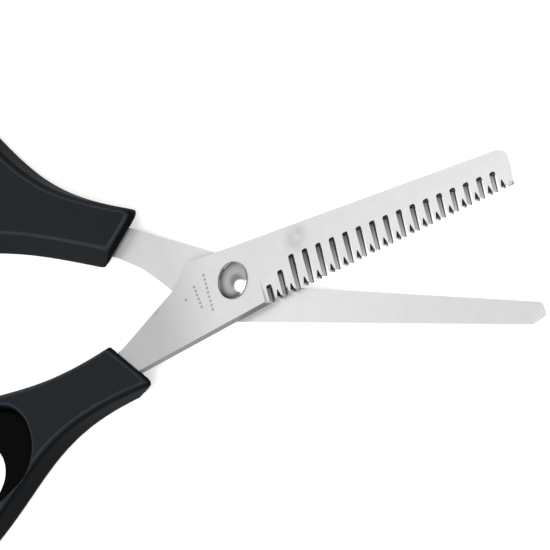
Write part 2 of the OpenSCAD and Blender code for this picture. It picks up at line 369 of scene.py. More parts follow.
@dataclass(frozen=True)
class GroundSteel(Finish):
    """Blade steel: softly mottled faces, a bright ground band, and walls darkened by painted shade.

    Places are along and across the closed blade. A pair called slopes or facing is where a smooth
    step starts and ends, in the surface's steepness or in the share of it that faces +Y.
    """

    half: Half
    end: Pair
    face_tone: float = 0.49
    mottle_size: float = 3.2
    mottle_depth: float = 0.06
    grain_size: float = 0.12
    grain_stretch: float = 0.06
    grain_depth: float = 0.04
    painted_tip_light: float = 0.1
    gain_span: Pair = (-5.0, 80.0)
    tang_span: Pair = (-3.0, -24.0)
    tang_painted_shade: float = 0.41
    tang_dullness: float = 0.6
    band_tone: float = 0.5
    band_top: float | None = None
    band_blur: Pair = (0.9, -0.6)
    band_start: float = 7.0
    band_start_blur: float = 0.4
    dark_patches: tuple[DarkPatch, ...] = ()
    patch_breakup: Pair = (0.2, 0.8)
    marks: tuple[DotRow, ...] = ()
    mark_depth: float = 0.5
    # The walls' dark tone is painted shade.
    painted_wall_shade: float = 0.13
    wall_slopes: Pair = (0.12, 0.28)
    wall_step: Pair = (0.3, 0.2)
    end_blur: Pair = (0.5, 0.3)
    bright_facing: Pair = (0.3, 0.6)
    teeth_line: float | None = None
    underside: float = 0.0
    slot_shade_tones: Pair = (0.18, 0.42)
    slot_reach: float = 7.1
    slot_start_blur: float = 0.2
    black_facing: Pair = (-0.12, -0.2)
    black_from: Pair = (0.02, 0.1)
    foot_heights: Pair = (0.5, 0.3)
    foot_rise: float = 0.5
    blackness: float = 0.95
    roughness: float = 0.32
    mottle_roughness: float = 0.1
    wall_roughness: float = 0.12
    metallic: float = 0.6
    warmth: float = 0.004
    scratch_depth: float = 0.004
    mottle_relief: float = 0.4

    def face_shade(self, g: Graph, place: Number, mottle: Number, grain: Number) -> Number:
        """Tone of the level faces, with the band, the tip's painted light, the tang's painted
        shade, the darker patches and the marks.

        Args:
            g: The graph to add to.
            place: The surface point in the closed position.
            mottle: The blade's cloudy noise.
            grain: The blade's streaky noise.

        Returns:
            The tone.
        """
        along, across, _ = g.parts(place)
        shade = self.face_tone + mottle.swing(self.mottle_depth)
        shade = shade + grain.swing(self.grain_depth)
        if self.band_top is not None:
            high, low = (self.band_top + blur for blur in self.band_blur)
            start, blur = self.band_start, self.band_start_blur
            band = across.rise(high, low) * along.rise(start - blur, start + blur)
            shade = shade + (self.band_tone - self.face_tone) * band
        # Painted reflected light along the blade: a gain above 0 brightens the faces towards the
        # tip, and one below 0 darkens them.
        shade = shade * (1.0 + self.painted_tip_light * along.rise(*self.gain_span))
        # The tang darkens towards the handle: a painted reflection of the dark handle.
        shade = shade * (1.0 - self.tang_painted_shade * along.rise(*self.tang_span))
        # Darker patches: soft ovals that darken the faces, broken up by the mottle.
        for dark_patch in self.dark_patches:
            spot = g.spot((along, across), dark_patch.centre, dark_patch.size)
            shade = shade * (1.0 - dark_patch.depth * spot * mottle.rise(*self.patch_breakup))
        for mark in self.marks:
            shade = shade * (1.0 - self.mark_depth * mark.mask(g, along, across))
        return shade

    def wall_mask(self, g: Graph, along: Number, across: Number) -> Number:
        """1 on the walls and 0 on the level faces, the blade's end and the band's first step.

        Args:
            g: The graph to add to.
            along: The surface point along the blade.
            across: The surface point across it.

        Returns:
            The mask.
        """
        (end_x, end_y), (far, near) = self.end, self.end_blur
        tip = along.rise(end_x - far, end_x - near) * across.rise(end_y - near, end_y + near)
        step = abs(along - self.band_start).rise(*self.wall_step)
        return g.steepness().rise(*self.wall_slopes) * (1.0 - tip) * (1.0 - step)

    def wall_shade(self, g: Graph, place: Number) -> Number:
        """Tone of the walls, all of it painted shade: darkest on the spine, and paler towards the
        tips of a comb's teeth.

        Between the teeth the walls at the closed ends of the slots and in the notches are painted
        nearly black as shade, and so is the foot of the walls.

        Args:
            g: The graph to add to.
            place: The surface point in the closed position.

        Returns:
            The tone.
        """
        facing = g.parts(g.turned(g.facing(), -self.half.turn))[1]
        # A plain blade: painted shade on the walls that face away from +Y, and the face tone on the
        # walls that face +Y.
        if self.teeth_line is None:
            gain = self.face_tone - self.painted_wall_shade
            return self.painted_wall_shade + gain * facing.rise(*self.bright_facing)
        along, across, height = g.parts(place)
        in_teeth = along.rise(self.band_start, self.band_start + self.slot_start_blur)
        up_slot = (across - self.teeth_line) * (1 / self.slot_reach)
        # Slot walls: painted shade, darkest at the slots' closed ends and paler towards the teeth's
        # tips.
        closed, tip = self.slot_shade_tones
        paler = tip + (closed - tip) * up_slot.rise(0.0, 1.0) - self.painted_wall_shade
        # The closed ends, the notches and the foot of the walls are painted near black as shade.
        start, end = (self.teeth_line + blur for blur in self.black_from)
        ends = facing.rise(*self.black_facing) * across.rise(start, end)
        foot = (height - self.underside - self.foot_rise * up_slot).rise(*self.foot_heights)
        black = 1.0 - (1.0 - ends) * (1.0 - foot)
        return (self.painted_wall_shade + paler * in_teeth) * (1.0 - self.blackness * black * in_teeth)

    def paint(self, g: Graph) -> None:
        """Adds the blade's nodes.

        Args:
            g: The material's graph.
        """
        place = g.turned(g.place(), -self.half.turn)
        along, across, _ = g.parts(place)
        mottle = g.noise(place, self.mottle_size, FINE_LAYERS)
        grain = g.noise(g.scaled(place, (self.grain_stretch, 1.0, 1.0)), self.grain_size)
        wall = self.wall_mask(g, along, across)
        # The walls take their painted shade in place of the faces' tone.
        shade = self.face_shade(g, place, mottle, grain) * (1.0 - wall)
        shade = shade + self.wall_shade(g, place) * wall
        rough = self.roughness + mottle.swing(self.mottle_roughness)
        tang = along.rise(*self.tang_span)
        g.surface({
            "Base Color": g.colour(shade, self.warmth),
            "Metallic": self.metallic * (1.0 - self.tang_dullness * tang),
            "Roughness": rough + self.wall_roughness * wall,
            "Normal": g.bump(grain + self.mottle_relief * mottle, self.scratch_depth),
        })


@dataclass(frozen=True)
class PolishedSteel(Finish):
    """Polished rivet steel, a little dark, with faint turning marks and a painted dark reflection
    on the lower-left of its rim.
    """

    tone: float = 0.31
    smear_size: float = 1.4
    smear_depth: float = 0.05
    ring_rate: float = 38.0
    ring_depth: float = 0.01
    painted_dark_reflection: float = 0.78
    dark_reflection_slopes: Pair = (0.06, 0.24)
    dark_reflection_facing: Pair = (0.15, -0.3)
    roughness: float = 0.12
    smear_roughness: float = 0.08
    warmth: float = 0.02
    scratch_depth: float = 0.0006

    def paint(self, g: Graph) -> None:
        """Adds the rivet's nodes: the turning marks are a sine of the distance from the axis.

        Args:
            g: The material's graph.
        """
        place = g.place()
        turns = g.length(*g.parts(place)[:2]) * self.ring_rate
        rings = turns.maths("SINE", turns)
        smears = g.noise(place, self.smear_size, FINE_LAYERS)
        tone = self.tone + smears.swing(self.smear_depth) + self.ring_depth * rings
        # Painted dark reflection: the rim's steep faces that face -X and -Y are darkened.
        to_x, to_y, _ = g.parts(g.facing())
        dark_reflection_side = (to_x + to_y).rise(*self.dark_reflection_facing)
        tone = tone * (1.0 - self.painted_dark_reflection * dark_reflection_side * g.steepness().rise(*self.dark_reflection_slopes))
        g.surface({
            "Base Color": g.colour(tone, self.warmth), "Metallic": 1.0,
            "Roughness": self.roughness + smears.swing(self.smear_roughness),
            "Normal": g.bump(0.5 + 0.5 * rings, self.scratch_depth),
        })


@dataclass(frozen=True)
class RolledSteel(Finish):
    """Plain washer steel with rolling marks one way."""

    tone: float = 0.32
    line_size: float = 0.1
    line_stretch: float = 0.05
    line_depth: float = 0.1
    stain_size: float = 2.0
    stain_depth: float = 0.08
    roughness: float = 0.38
    stain_roughness: float = 0.15
    scratch_depth: float = 0.004

    def paint(self, g: Graph) -> None:
        """Adds the washer's nodes.

        Args:
            g: The material's graph.
        """
        place = g.place()
        lines = g.noise(g.scaled(place, (self.line_stretch, 1.0, 1.0)), self.line_size)
        stains = g.noise(place, self.stain_size, FINE_LAYERS)
        tone = self.tone + lines.swing(self.line_depth) + stains.swing(self.stain_depth)
        g.surface({
            "Base Color": g.colour(tone), "Metallic": 1.0,
            "Roughness": self.roughness + stains.swing(self.stain_roughness),
            "Normal": g.bump(lines, self.scratch_depth),
        })


@dataclass(frozen=True)
class SatinPlastic(Finish):
    """Near-black moulded plastic with a fine spark texture, a painted highlight along its ridges
    and painted shade on its walls.
    """

    tone: float = 0.0055
    cloud_size: float = 7.0
    cloud_range: Pair = (0.8, 0.4)
    painted_ridge_highlight: float = 0.014
    ridge_slopes: Pair = (0.01, 0.04)
    ridge_end_slopes: Pair = (0.14, 0.07)
    tint: float = -0.3
    roughness: float = 0.4
    cloud_roughness: float = 0.1
    texture_size: float = 0.34
    texture_roughness: float = 0.12
    texture_depth: float = 0.03
    shine: float = 0.1
    wall_slopes: Pair = (0.12, 0.5)
    painted_wall_shade: float = 0.002
    wall_roughness: float = 0.6
    wall_shine: float = 0.04

    def paint(self, g: Graph) -> None:
        """Adds the handle's nodes: one shader for the faces with the ridges' painted highlight, and
        one for the walls, whose near-black tone is painted shade.

        Args:
            g: The material's graph.
        """
        place, steep = g.place(), g.steepness()
        texture = g.noise(place, self.texture_size, FINE_LAYERS)
        cloud = g.noise(place, self.cloud_size)
        # Ridges: a painted highlight, a lighter tone on the rounded edges between the faces and the
        # walls.
        ridge_highlight = steep.rise(*self.ridge_slopes) * steep.rise(*self.ridge_end_slopes)
        least, spread = self.cloud_range
        tone = self.tone * (least + spread * cloud) + self.painted_ridge_highlight * ridge_highlight
        rough = self.roughness + texture.swing(self.texture_roughness)
        normal = g.bump(texture, self.texture_depth)
        face = {
            "Base Color": g.colour(tone, self.tint), "Normal": normal,
            "Roughness": rough + cloud.swing(self.cloud_roughness),
            "Specular IOR Level": self.shine,
        }
        # Walls: a darker, duller shader as painted shade.
        wall = {
            "Base Color": grey(self.painted_wall_shade, self.tint), "Normal": normal,
            "Roughness": self.wall_roughness, "Specular IOR Level": self.wall_shine,
        }
        g.surface(face, steep.rise(*self.wall_slopes), wall)


@dataclass(frozen=True)
class SoftRubber(Finish):
    """Matt liner rubber with a chalky bloom."""

    tone: float = 0.0012
    bloom_size: float = 4.0
    bloom_range: Pair = (0.7, 0.6)
    tint: float = -0.04
    roughness: float = 0.75
    bloom_roughness: float = 0.15
    grain_size: float = 0.2
    grain_depth: float = 0.015
    shine: float = 0.02

    def paint(self, g: Graph) -> None:
        """Adds the rubber's nodes.

        Args:
            g: The material's graph.
        """
        place = g.place()
        bloom = g.noise(place, self.bloom_size, FINE_LAYERS)
        least, spread = self.bloom_range
        g.surface({
            "Base Color": g.colour(self.tone * (least + spread * bloom), self.tint),
            "Roughness": self.roughness + bloom.swing(self.bloom_roughness),
            "Normal": g.bump(g.noise(place, self.grain_size), self.grain_depth),
            "Specular IOR Level": self.shine,
        })


@dataclass(frozen=True)
class PaleFloor(Finish):
    """Plain pale floor with a slight glow, which keeps the shadows on it faint."""

    tone: float = 0.6
    cloud_size: float = 60.0
    cloud_depth: float = 0.01
    glow: float = 0.5
    roughness: float = 0.9
    shine: float = 0.1

    def paint(self, g: Graph) -> None:
        """Adds the floor's nodes.

        Args:
            g: The material's graph.
        """
        cloud = g.noise(g.place(), self.cloud_size)
        g.surface({
            "Base Color": g.colour(self.tone + cloud.swing(self.cloud_depth)),
            "Roughness": self.roughness, "Specular IOR Level": self.shine,
            "Emission Color": grey(1.0), "Emission Strength": self.glow,
        })


# ---- curves, fields and meshes ----


def cubic(ends: Array, count: int) -> Array:
    """Points on a cubic curve, evenly spaced in its parameter t.

    With s = 1 - t, the four control points are weighted by s^3, 3 s^2 t, 3 s t^2 and t^3.

    Args:
        ends: The control points.
        count: Number of points.

    Returns:
        The points, in order.
    """
    t = np.linspace(0.0, 1.0, count)[:, None]
    s = 1.0 - t
    return s**3 * ends[0] + 3 * s * s * t * ends[1] + 3 * s * t * t * ends[2] + t**3 * ends[3]


def toward(start: Pair, end: Pair, reach: float) -> Array:
    """The point at a distance from start on the straight line to end."""
    run = np.subtract(end, start)
    return start + run * (reach / np.linalg.norm(run))


def oval(centre: Pair, size: Pair, angles: Array) -> Array:
    """Points on an upright ellipse at the given angles of its parameter, in radians."""
    return np.stack([np.cos(angles), np.sin(angles)], -1) * size + centre


def even_loop(loop: Array, count: int, softness: float) -> Array:
    """A closed loop with evenly spaced points and softened corners.

    The points are moved to equal steps of length along the loop, and each is then the mean of its
    neighbours, weighted by a bell curve of their distance along it.

    Args:
        loop: Corner points, in order.
        count: Number of points to return.
        softness: Width of the bell curve, in millimetres.

    Returns:
        The points, in order.
    """
    ring = np.vstack([loop, loop[:1]])
    length = np.concatenate([[0.0], np.cumsum(np.linalg.norm(np.diff(ring, axis=0), axis=1))])
    steps = np.linspace(0.0, length[-1], count, endpoint=False)
    even = np.stack([np.interp(steps, length, ring[:, i]) for i in range(2)], -1)
    if softness <= 0:
        return even
    reach = math.ceil(3 * softness / (length[-1] / count))
    offsets = np.arange(-reach, reach + 1)
    weights = np.exp(-0.5 * (offsets * length[-1] / count / softness) ** 2)
    weights /= weights.sum()
    return sum(w * np.roll(even, k, axis=0) for w, k in zip(weights, offsets))


def distance_to(points: Array, path: Array, closed: bool) -> Array:
    """Distance from each point to a path of straight pieces, negative inside a closed one.

    A piece's nearest point is the foot of the perpendicular, kept between its ends. A point is
    inside when a ray from it towards +X crosses the path an odd number of times.

    Args:
        points: Points in the plane.
        path: The path's corners.
        closed: Whether the last corner joins the first.

    Returns:
        One distance for each point.
    """
    start = path if closed else path[:-1]
    end = np.roll(path, -1, axis=0) if closed else path[1:]
    run = end - start
    found = []
    for block in np.array_split(points, max(1, len(points) // BLOCK_POINTS)):
        offset = block[:, None] - start
        share = np.clip((offset * run).sum(-1) / (run * run).sum(-1), 0.0, 1.0)
        near = np.linalg.norm(offset - share[..., None] * run, axis=-1).min(1)
        if closed:
            y = block[:, 1:2]
            spans = (start[:, 1] > y) != (end[:, 1] > y)
            rise = np.where(run[:, 1] == 0.0, 1.0, run[:, 1])
            cross = start[:, 0] + run[:, 0] * (y - start[:, 1]) / rise
            inside = (spans & (block[:, :1] < cross)).sum(1) % 2 == 1
            near = np.where(inside, -near, near)
        found.append(near)
    return np.concatenate(found)


class PlanMap:
    """Distances over the plane, kept on a grid and read between its points."""

    def __init__(self, low: Array, high: Array, pitch: float) -> None:
        """Lays the grid out.

        Args:
            low: Lowest corner.
            high: Highest corner.
            pitch: Distance between grid points.
        """
        self.low, self.pitch = low, pitch
        self.counts = np.ceil((high - low) / pitch).astype(int) + 1
        axes = [low[i] + pitch * np.arange(self.counts[i]) for i in range(2)]
        self.points = np.stack(np.meshgrid(*axes, indexing="ij"), -1).reshape(-1, 2)
        self.layers: dict[str, Array] = {}

    def record(self, name: str, path: Array, closed: bool = True) -> None:
        """Stores the distance to a path under a name."""
        self.layers[name] = distance_to(self.points, path, closed).reshape(self.counts)

    def read(self, name: str, points: Array) -> Array:
        """A layer at any points: the mean of the four nearest grid values, weighted by area.

        Args:
            name: The layer's name.
            points: The points, whose first two parts are used.

        Returns:
            One distance for each point.
        """
        place = (points[:, :2] - self.low) / self.pitch
        cell = np.clip(np.floor(place).astype(int), 0, self.counts - 2)
        u, v = np.clip(place - cell, 0.0, 1.0).T
        i, j = cell.T
        layer = self.layers[name]
        below = layer[i, j] * (1 - u) + layer[i + 1, j] * u
        above = layer[i, j + 1] * (1 - u) + layer[i + 1, j + 1] * u
        return below * (1 - v) + above * v


def soft_max(first: Array, second: Array, width: float) -> Array:
    """The larger of two fields, rounded where they are within width of each other."""
    near = np.maximum(width - np.abs(first - second), 0.0)
    return np.maximum(first, second) + near * near / (4 * width)


def wrap_field(field: Field, low: Array, high: Array, pitch: float) -> tuple[Array, Array]:
    """Quads round the body where a field is negative.

    Each grid cell that the zero level crosses gets one point, the mean of the crossings on its
    edges, and each grid edge that it crosses gets one quad, which joins the four cells round it.
    The points are then moved along the field's slope onto the level itself.

    Args:
        field: Gives the field's value at each of an array of points.
        low: Lowest corner of the grid.
        high: Highest corner of the grid.
        pitch: Size of a cell.

    Returns:
        The points, and four point numbers for each quad, outward.
    """
    counts = np.ceil((high - low) / pitch).astype(int) + 1
    axes = [low[i] + pitch * np.arange(counts[i]) for i in range(3)]
    grid = np.stack(np.meshgrid(*axes, indexing="ij"), -1)
    values = field(grid.reshape(-1, 3)).reshape(counts)
    cells = counts - 1
    total, hits = np.zeros((*cells, 3)), np.zeros(cells, int)
    edges = []
    for axis in range(3):
        others = [(axis + 1) % 3, (axis + 2) % 3]
        lower = np.take(values, np.arange(cells[axis]), axis)
        upper = np.take(values, np.arange(1, counts[axis]), axis)
        crossed = (lower < 0) != (upper < 0)
        share = np.where(crossed, lower / np.where(crossed, lower - upper, 1.0), 0.0)
        at = np.take(grid, np.arange(cells[axis]), axis).copy()
        at[..., axis] += share * pitch
        for shift in np.ndindex(2, 2):
            cut = [slice(None)] * 3
            for other, step in zip(others, shift):
                cut[other] = slice(step, step + cells[other])
            window = tuple(cut)
            total += np.where(crossed[window][..., None], at[window], 0.0)
            hits += crossed[window]
        edges.append((axis, others, crossed, lower < 0))
    full = hits > 0
    number = np.full(cells, -1)
    number[full] = np.arange(full.sum())
    points = total[full] / hits[full][:, None]
    quads = []
    for axis, others, crossed, inside in edges:
        place = np.argwhere(crossed)
        kept = np.all((place[:, others] > 0) & (place[:, others] < cells[others]), axis=1)
        place = place[kept]
        corners = []
        for steps in ((-1, -1), (0, -1), (0, 0), (-1, 0)):
            moved = place.copy()
            moved[:, others] += steps
            corners.append(number[tuple(moved.T)])
        quad = np.stack(corners, -1)
        outward = inside[tuple(place.T)]
        quads.append(np.where(outward[:, None], quad, quad[:, ::-1]))
    return settle(points, field, pitch), np.concatenate(quads)


def settle(points: Array, field: Field, pitch: float, rounds: int = 3) -> Array:
    """Moves points onto a field's zero level: each steps back along the slope by value / slope.

    Args:
        points: Points near the level.
        field: Gives the field's value at each of an array of points.
        pitch: Size of a cell, three times the longest step.
        rounds: Number of steps.

    Returns:
        The moved points.
    """
    step, least_slope = 0.1 * pitch, 0.05
    for _ in range(rounds):
        slope = np.stack(
            [(field(points + step * e) - field(points - step * e)) / (2 * step) for e in np.eye(3)],
            -1,
        )
        size = np.maximum((slope * slope).sum(-1, keepdims=True), least_slope)
        points = points - np.clip(field(points)[:, None] * slope / size, -pitch / 3, pitch / 3)
    return points


def grid_quads(rows: int, columns: int, close_rows: bool, close_columns: bool) -> Array:
    """Point numbers of a grid's quads.

    Args:
        rows: Number of rows of points.
        columns: Number of points in a row.
        close_rows: Whether the last row joins the first.
        close_columns: Whether a row's last point joins its first.

    Returns:
        Four point numbers for each quad.
    """
    i = np.arange(rows if close_rows else rows - 1)[:, None]
    j = np.arange(columns if close_columns else columns - 1)[None, :]
    i_next, j_next = (i + 1) % rows, (j + 1) % columns
    corners = [i * columns + j, i_next * columns + j]
    corners += [i_next * columns + j_next, i * columns + j_next]
    return np.stack(np.broadcast_arrays(*corners), -1).reshape(-1, 4)


def add_object(name: str, data: bpy.types.ID) -> bpy.types.Object:
    """Adds an object that holds the given data to the scene.

    Args:
        name: The object's name.
        data: Its mesh, camera or light.

    Returns:
        The object.
    """
    added = bpy.data.objects.new(name, data)
    bpy.context.scene.collection.objects.link(added)
    return added


def new_piece(
    name: str, points: Array, quads: Array, material: bpy.types.Material
) -> bpy.types.Object:
    """Makes a smooth-shaded piece.

    Args:
        name: The piece's name.
        points: Points in metres, in the frame.
        quads: Four point numbers for each face.
        material: The piece's finish.

    Returns:
        The piece's object, at the origin.
    """
    mesh = bpy.data.meshes.new(name)
    mesh.vertices.add(len(points))
    mesh.vertices.foreach_set("co", points.astype(np.float32).ravel())
    mesh.loops.add(quads.size)
    mesh.loops.foreach_set("vertex_index", quads.astype(np.int32).ravel())
    mesh.polygons.add(len(quads))
    mesh.polygons.foreach_set("loop_start", np.arange(0, quads.size, 4, dtype=np.int32))
    mesh.update(calc_edges=True)
    work = bmesh.new()
    work.from_mesh(mesh)
    bmesh.ops.remove_doubles(work, verts=work.verts, dist=MERGE_WITHIN * MM)
    work.to_mesh(mesh)
    work.free()
    mesh.polygons.foreach_set("use_smooth", np.ones(len(mesh.polygons), bool))
    mesh.materials.append(material)
    return add_object(name, mesh)


def opened(points: Array, half: Half) -> Array:
    """Points of a closed half, in millimetres, as they lie at rest, in metres."""
    turn = np.array(Matrix.Rotation(half.turn, 3, "Z"))
    return points @ turn.T * MM


def spun(profile: Array, steps: int) -> tuple[Array, Array]:
    """A profile of radius and height carried round the Z axis.

    The point at turn a is (radius cos a, radius sin a, height).

    Args:
        profile: Radius and height pairs, from the bottom's centre to the top's.
        steps: Number of steps round the axis.

    Returns:
        The points, and four point numbers for each quad, outward.
    """
    angles = np.linspace(0.0, 2 * np.pi, steps, endpoint=False)[:, None]
    radius, height = profile[:, 0], profile[:, 1]
    points = np.stack(
        [radius * np.cos(angles), radius * np.sin(angles), height + 0.0 * angles], -1
    )
    return points.reshape(-1, 3), grid_quads(steps, len(profile), True, False)


def bend(centre: Pair, radius: float, start: float, end: float) -> Array:
    """Points on a profile's arc between two angles, in degrees."""
    return oval(centre, (radius, radius), np.radians(np.linspace(start, end, ARC_POINTS)))


def closed_box(node: str, half: Half) -> tuple[Array, Array]:
    """A model part's box in its half's closed position, in millimetres.

    Args:
        node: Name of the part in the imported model.
        half: The half that it belongs to.

    Returns:
        Its lowest and highest corners.
    """
    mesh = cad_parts[node].data
    places = np.zeros(len(mesh.vertices) * 3, np.float32)
    mesh.vertices.foreach_get("co", places)
    back = np.array(Matrix.Rotation(-half.turn, 3, "Z"))
    closed = places.reshape(-1, 3) @ back.T / MM
    return closed.min(0), closed.max(0)


@dataclass(frozen=True)
class Seat:
    """Where a new piece belongs: its name, the part it stands for, its half and its slot."""

    name: str
    node: str
    half: Half
    slot: str

    def box(self) -> tuple[Array, Array]:
        """The box of the part that the piece stands for, in the closed position."""
        return closed_box(self.node, self.half)

    def fit(
        self, points: Array, quads: Array, material: bpy.types.Material,
        mirrored: bool = False,
    ) -> None:
        """Makes the piece and hangs it on its half in place of the model's part.

        Args:
            points: Points of the closed half, in millimetres.
            quads: Four point numbers for each face.
            material: The piece's finish.
            mirrored: Whether Y is counted away from the centre line, on the half's own side.
        """
        if mirrored and self.half.side < 0:
            points = points * (1.0, -1.0, 1.0)
            quads = quads[:, ::-1]
        piece = new_piece(self.name, opened(points, self.half), quads, material)
        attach(piece, self.half.body)
        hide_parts(self.node)
        LOG.info("%s stands for %s, %d faces", self.name, self.node, len(quads))


# ---- sub-assemblies ----


@dataclass
class Blades:
    """The comb blade, the plain blade and the washers, as the model has them."""

    corner_round: float = 0.05
    comb_band_top: float = -2.3
    comb_end: Pair = (73.4, -7.0)
    comb_teeth_line: float = -7.6
    plain_end: Pair = (78.5, -6.0)
    plain_tone: float = 0.54
    # Painted reflected light: the plain blade darkens towards its tip.
    plain_painted_tip_light: float = -0.137
    # Painted shade on the plain blade's tang, a reflection of its handle.
    plain_tang_painted_shade: float = 0.27
    weld_within: float = 0.001
    bevel_steps: int = 2
    sharp_angle: float = math.radians(28.0)
    dark_patches: tuple[DarkPatch, ...] = (
        DarkPatch((18.5, 2.6), (4.5, 5.0), 0.4), DarkPatch((-22.4, 2.0), (2.2, 2.4), 0.3),
        DarkPatch((-40.0, -6.0), (16.0, 6.0), 0.2),
    )
    marks: tuple[DotRow, ...] = (
        DotRow((-7.4, 4.6), (-6.9, -4.4), 9), DotRow((-10.6, 3.1), (-9.6, -2.7), 6),
        DotRow((-13.9, 0.8), (-12.9, 0.8), 1),
    )

    def dress(self) -> None:
        """Softens the sharp edges and gives each part its steel."""
        comb = GroundSteel(
            Half.TOOTHED, self.comb_end, teeth_line=self.comb_teeth_line,
            underside=closed_box("toothed_blade", Half.TOOTHED)[0][2],
            band_top=self.comb_band_top, dark_patches=self.dark_patches, marks=self.marks,
        ).material("comb_blade_steel")
        plain = GroundSteel(
            Half.PLAIN, self.plain_end, face_tone=self.plain_tone, painted_tip_light=self.plain_painted_tip_light,
            tang_painted_shade=self.plain_tang_painted_shade,
        ).material("plain_blade_steel")
        washer = RolledSteel().material("rolled_washer_steel")
        finishes = {
            "toothed_blade": comb, "plain_blade": plain,
            "blade_washer": washer, "back_washer": washer,
        }
        for node, material in finishes.items():
            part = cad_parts[node]
            self.soften(part)
            part.data.materials.clear()
            part.data.materials.append(material)
            LOG.info("%s keeps its shape and takes %s", node, material.name)

    def soften(self, part: bpy.types.Object) -> None:
        """Joins a part's triangles and breaks its sharp edges.

        Args:
            part: The part's object.
        """
        weld = part.modifiers.new("joined", "WELD")
        weld.merge_threshold = self.weld_within * MM
        bevel = part.modifiers.new("broken_edges", "BEVEL")
        bevel.width = self.corner_round * MM
        bevel.segments = self.bevel_steps
        bevel.limit_method = "ANGLE"
        bevel.angle_limit = self.sharp_angle
        bevel.harden_normals = True


@dataclass
class Rivet:
    """The rivet: a dished closed tail, a shank and a domed head."""

    rim: float = 0.2
    head_round: float = 0.12
    dome_rise: float = 1.5
    tail_round: float = 0.3
    dish_radius: float = 1.5
    dish_depth: float = 0.25
    tail_share: float = 0.825
    shank_share: float = 0.55
    chamfer: float = 0.05
    dish_points: int = 12
    dome_points: int = 40
    steps: int = 128

    def build(self) -> None:
        """Makes the rivet: a profile of dish, tail, shank, rim and dome spun round Z."""
        seat = Seat("domed_rivet", "pivot_rivet", Half.PLAIN, "rivet_steel")
        low, high = seat.box()
        head = high[0]
        top = high[2]
        under = top - self.dome_rise - self.rim
        tail = head * self.tail_share
        tail_top = closed_box("back_washer", Half.PLAIN)[0][2]
        shank = head * self.shank_share
        ball = (head**2 + self.dome_rise**2) / (2 * self.dome_rise)
        lean = math.asin((head - self.head_round) / ball)
        dome_angles = np.linspace(lean, 0.0, self.dome_points)
        dome = np.stack([ball * np.sin(dome_angles), top - ball + ball * np.cos(dome_angles)], -1)
        base = low[2]
        share = np.linspace(0.0, 1.0, self.dish_points)
        dish = np.stack([self.dish_radius * share, base + self.dish_depth * (1 - share**2)], -1)
        profile = np.concatenate([
            dish,
            bend((tail - self.tail_round, base + self.tail_round), self.tail_round, -90, 0),
            [[tail, tail_top], [shank, tail_top], [shank, under], [head - self.chamfer, under]],
            [[head, under + self.chamfer]],
            bend((head - self.head_round, under + self.rim), self.head_round, 0, 45),
            dome,
        ])
        seat.fit(*spun(profile, self.steps), PolishedSteel().material("rivet_steel"))


